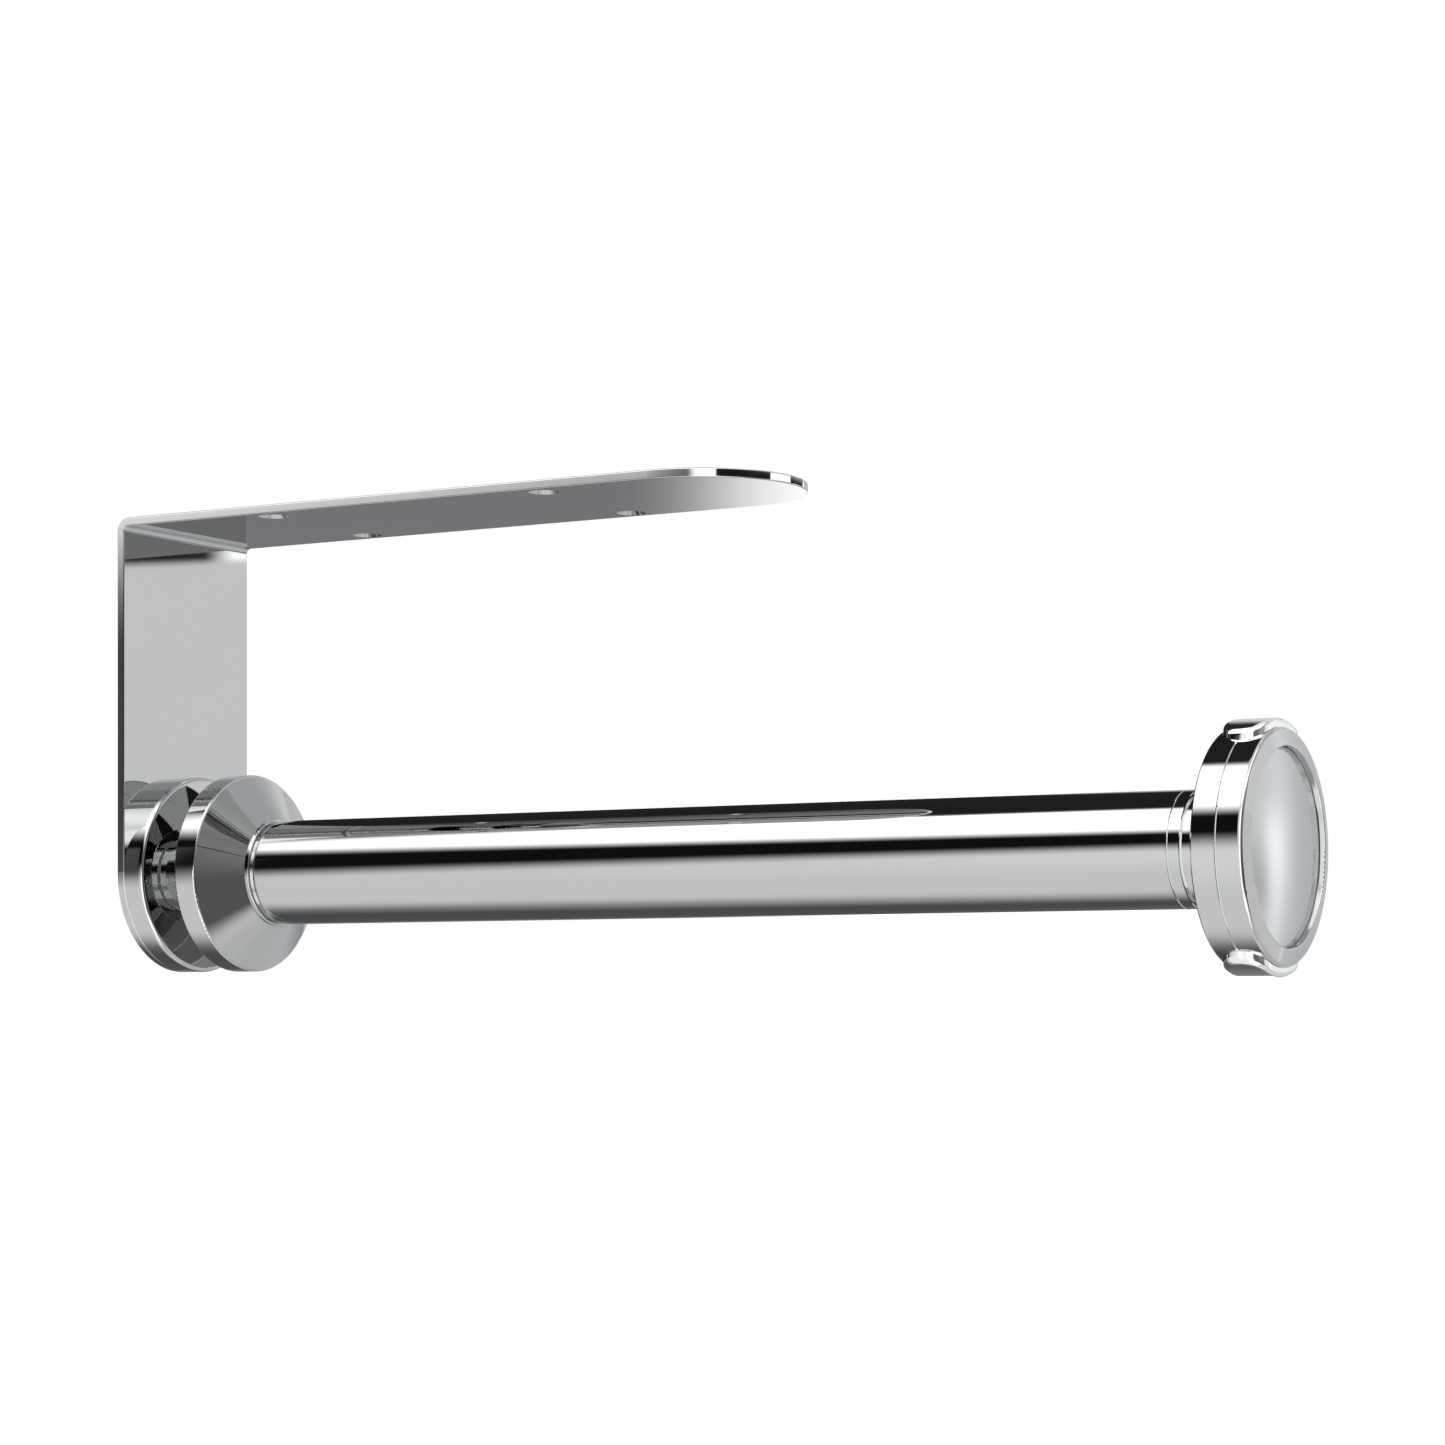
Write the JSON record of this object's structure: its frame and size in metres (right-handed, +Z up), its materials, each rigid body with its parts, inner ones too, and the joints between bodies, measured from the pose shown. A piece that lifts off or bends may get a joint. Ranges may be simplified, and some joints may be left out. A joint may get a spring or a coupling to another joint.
{
  "type": "under-cabinet paper towel holder",
  "caption": "Polished bent strap that screws under a cabinet and carries a turning rod with a cone collar and a squeeze-release end cap for a paper towel roll.",
  "frame": {"origin": "on the strap's top face, which is screwed to the cabinet, in the middle of its four screw holes", "axes": "+Z up, into the cabinet; +X along the rod towards its free end; the rod's axis is 95.3 mm below the origin"},
  "size_m": [0.3238, 0.0554, 0.1251],
  "materials": {
    "polished_chrome": "polished",
    "satin_chrome": "satin",
    "plain_steel": "machined",
    "acetal": "moulded"
  },
  "bodies": {
    "bracket": {"mounting_bracket": "polished_chrome", "base_flange": "polished_chrome", "axle": "plain_steel", "axle_screw": "plain_steel", "flange_screws": "plain_steel", "thrust_washer": "acetal", "spring_washer": "plain_steel", "end_washer": "plain_steel", "retaining_ring": "plain_steel"},
    "roller": {"cone_collar": "polished_chrome", "rear_bush": "polished_chrome", "front_bush": "acetal", "bead_ring": "polished_chrome", "rod_tube": "polished_chrome", "end_ferrule": "polished_chrome", "end_plug": "polished_chrome", "latch_stud": "plain_steel"},
    "end_cap": {"cap_rear_shell": "polished_chrome", "cap_front_shell": "polished_chrome", "cap_face": "satin_chrome", "cap_screws": "plain_steel", "latch_ring": "acetal"},
    "top_release": {"top_button": "polished_chrome"},
    "bottom_release": {"bottom_button": "polished_chrome"}
  },
  "joints": [
    {"name": "roller_spin", "type": "hinge", "parent": "bracket", "child": "roller", "pos_m": [0, 0, -0.0953], "axis": [1, 0, 0], "continuous": true},
    {"name": "cap_pull", "type": "slide", "parent": "roller", "child": "end_cap", "axis": [1, 0, 0], "range_m": [0, 0.03], "deforming": ["latch_ring"]},
    {"name": "top_button_press", "type": "slide", "parent": "end_cap", "child": "top_release", "axis": [0, 0, -1], "range_m": [0, 0.0015], "stiffness_N_per_m": 2500, "springref_m": -0.001, "deforming": ["latch_ring"]},
    {"name": "bottom_button_press", "type": "slide", "parent": "end_cap", "child": "bottom_release", "axis": [0, 0, 1], "range_m": [0, 0.0015], "stiffness_N_per_m": 2500, "springref_m": -0.001, "deforming": ["latch_ring"]}
  ]
}
